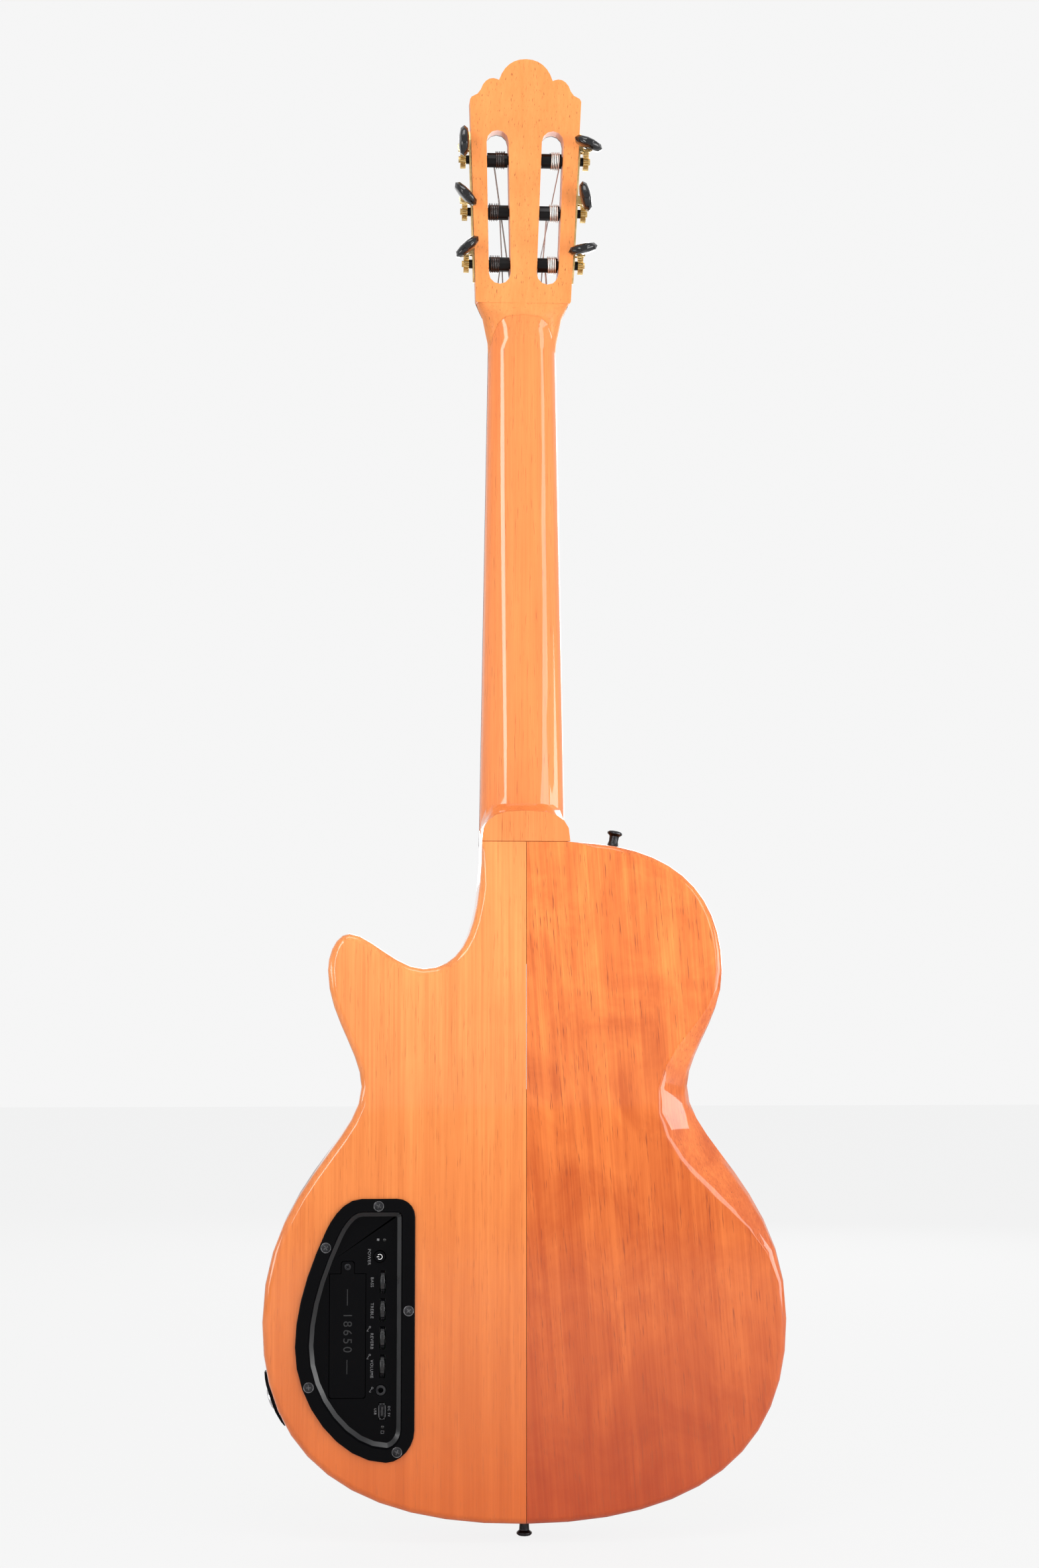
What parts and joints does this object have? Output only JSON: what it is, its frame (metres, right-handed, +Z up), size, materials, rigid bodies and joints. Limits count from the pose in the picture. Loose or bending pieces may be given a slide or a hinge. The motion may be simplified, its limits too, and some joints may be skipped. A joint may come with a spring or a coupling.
{
  "type": "crossover guitar",
  "caption": "Thin-bodied nylon-string crossover guitar with a cutaway, a slotted head with open worm-geared tuners, and a control panel let into its back.",
  "frame": {"origin": "the tail end of the body on its centre seam, at half the body's depth", "axes": "+Z up the neck, -Y out of the back, +Y out of the soundboard, +X to the bass side, -X to the cutaway side"},
  "size_m": [0.3388, 0.073, 0.9836],
  "materials": {
    "golden_wood": "gloss",
    "red_wood": "gloss",
    "neck_wood": "gloss",
    "satin_wood": "satin",
    "spruce": "gloss",
    "dark_wood": "satin",
    "bone": "satin",
    "brass": "aged",
    "steel": "plain",
    "black_gloss": "gloss",
    "black_satin": "satin",
    "black_metal": "gloss",
    "nylon": "clear",
    "wound": "wound",
    "circuit": "satin",
    "cell": "satin"
  },
  "bodies": {
    "guitar": {"body_board_bass": "red_wood", "body_board_treble": "golden_wood", "soundboard": "spruce", "brace_upper": "spruce", "brace_lower": "spruce", "neck": "neck_wood", "truss_rod": "steel", "heel_cap": "satin_wood", "headstock": "satin_wood", "headstock_veneer": "dark_wood", "fingerboard": "dark_wood", "nut": "bone", "bridge": "dark_wood", "pickup_strip": "brass", "saddle": "bone", "tuner_plate_bass": "brass", "tuner_plate_treble": "brass", "strap_pin_upper": "black_metal", "strap_pin_tail": "black_metal", "jack_plate": "black_satin", "output_jack": "brass", "control_panel": "black_satin", "battery_tray": "black_satin", "battery_cell": "cell", "circuit_board": "circuit", "mini_jack": "steel", "usb_socket": "steel", "string_low_e": "wound", "string_a": "wound", "string_d": "wound", "string_g": "nylon", "string_b": "nylon", "string_high_e": "nylon"},
    "knob_low_e": {"knob_low_e": "black_gloss"},
    "roller_low_e": {"roller_low_e": "brass", "winding_low_e": "wound"},
    "knob_a": {"knob_a": "black_gloss"},
    "roller_a": {"roller_a": "brass", "winding_a": "wound"},
    "knob_d": {"knob_d": "black_gloss"},
    "roller_d": {"roller_d": "brass", "winding_d": "wound"},
    "knob_g": {"knob_g": "black_gloss"},
    "roller_g": {"roller_g": "brass", "winding_g": "nylon"},
    "knob_b": {"knob_b": "black_gloss"},
    "roller_b": {"roller_b": "brass", "winding_b": "nylon"},
    "knob_high_e": {"knob_high_e": "black_gloss"},
    "roller_high_e": {"roller_high_e": "brass", "winding_high_e": "nylon"},
    "thumbwheel_1": {"thumbwheel_1": "black_gloss"},
    "thumbwheel_2": {"thumbwheel_2": "black_gloss"},
    "thumbwheel_3": {"thumbwheel_3": "black_gloss"},
    "thumbwheel_4": {"thumbwheel_4": "black_gloss"},
    "power_button": {"power_button": "black_gloss"},
    "battery_door": {"battery_door": "black_satin"}
  },
  "joints": [
    {"name": "knob_low_e_turn", "type": "hinge", "parent": "guitar", "child": "knob_low_e", "pos_m": [0.0392, 0.00764, 0.84512], "axis": [0, -0.9816, -0.1908], "continuous": true},
    {"name": "roller_low_e_turn", "type": "hinge", "parent": "guitar", "child": "roller_low_e", "pos_m": [0.0392, 0.0093, 0.83658], "axis": [1, 0, 0], "continuous": true},
    {"name": "knob_a_turn", "type": "hinge", "parent": "guitar", "child": "knob_a", "pos_m": [0.04059, 0.00096, 0.87948], "axis": [0, -0.9816, -0.1908], "continuous": true},
    {"name": "roller_a_turn", "type": "hinge", "parent": "guitar", "child": "roller_a", "pos_m": [0.04059, 0.00262, 0.87094], "axis": [1, 0, 0], "continuous": true},
    {"name": "knob_d_turn", "type": "hinge", "parent": "guitar", "child": "knob_d", "pos_m": [0.04197, -0.00572, 0.91383], "axis": [0, -0.9816, -0.1908], "continuous": true},
    {"name": "roller_d_turn", "type": "hinge", "parent": "guitar", "child": "roller_d", "pos_m": [0.04197, -0.00406, 0.90529], "axis": [1, 0, 0], "continuous": true},
    {"name": "knob_g_turn", "type": "hinge", "parent": "guitar", "child": "knob_g", "pos_m": [-0.04197, -0.00572, 0.91383], "axis": [0, -0.9816, -0.1908], "continuous": true},
    {"name": "roller_g_turn", "type": "hinge", "parent": "guitar", "child": "roller_g", "pos_m": [-0.04197, -0.00406, 0.90529], "axis": [1, 0, 0], "continuous": true},
    {"name": "knob_b_turn", "type": "hinge", "parent": "guitar", "child": "knob_b", "pos_m": [-0.04059, 0.00096, 0.87948], "axis": [0, -0.9816, -0.1908], "continuous": true},
    {"name": "roller_b_turn", "type": "hinge", "parent": "guitar", "child": "roller_b", "pos_m": [-0.04059, 0.00262, 0.87094], "axis": [1, 0, 0], "continuous": true},
    {"name": "knob_high_e_turn", "type": "hinge", "parent": "guitar", "child": "knob_high_e", "pos_m": [-0.0392, 0.00764, 0.84512], "axis": [0, -0.9816, -0.1908], "continuous": true},
    {"name": "roller_high_e_turn", "type": "hinge", "parent": "guitar", "child": "roller_high_e", "pos_m": [-0.0392, 0.0093, 0.83658], "axis": [1, 0, 0], "continuous": true},
    {"name": "thumbwheel_1_turn", "type": "hinge", "parent": "guitar", "child": "thumbwheel_1", "pos_m": [-0.0924, -0.0165, 0.1532], "axis": [1, 0, 0], "range_deg": [-135, 135]},
    {"name": "thumbwheel_2_turn", "type": "hinge", "parent": "guitar", "child": "thumbwheel_2", "pos_m": [-0.0924, -0.0165, 0.1355], "axis": [1, 0, 0], "range_deg": [-135, 135]},
    {"name": "thumbwheel_3_turn", "type": "hinge", "parent": "guitar", "child": "thumbwheel_3", "pos_m": [-0.0924, -0.0165, 0.1178], "axis": [1, 0, 0], "range_deg": [-135, 135]},
    {"name": "thumbwheel_4_turn", "type": "hinge", "parent": "guitar", "child": "thumbwheel_4", "pos_m": [-0.0924, -0.0165, 0.1001], "axis": [1, 0, 0], "range_deg": [-135, 135]},
    {"name": "power_button_press", "type": "slide", "parent": "guitar", "child": "power_button", "axis": [0, 1, 0], "range_m": [0, 0.0012], "stiffness_N_per_m": 300, "springref_m": -0.001},
    {"name": "battery_door_lift", "type": "slide", "parent": "guitar", "child": "battery_door", "axis": [0, -1, 0], "range_m": [0, 0.02]}
  ],
  "couplings": [
    {"joint": "roller_low_e_turn", "follows": "knob_low_e_turn", "ratio": -0.0625},
    {"joint": "roller_a_turn", "follows": "knob_a_turn", "ratio": -0.0625},
    {"joint": "roller_d_turn", "follows": "knob_d_turn", "ratio": -0.0625},
    {"joint": "roller_g_turn", "follows": "knob_g_turn", "ratio": -0.0625},
    {"joint": "roller_b_turn", "follows": "knob_b_turn", "ratio": -0.0625},
    {"joint": "roller_high_e_turn", "follows": "knob_high_e_turn", "ratio": -0.0625}
  ]
}
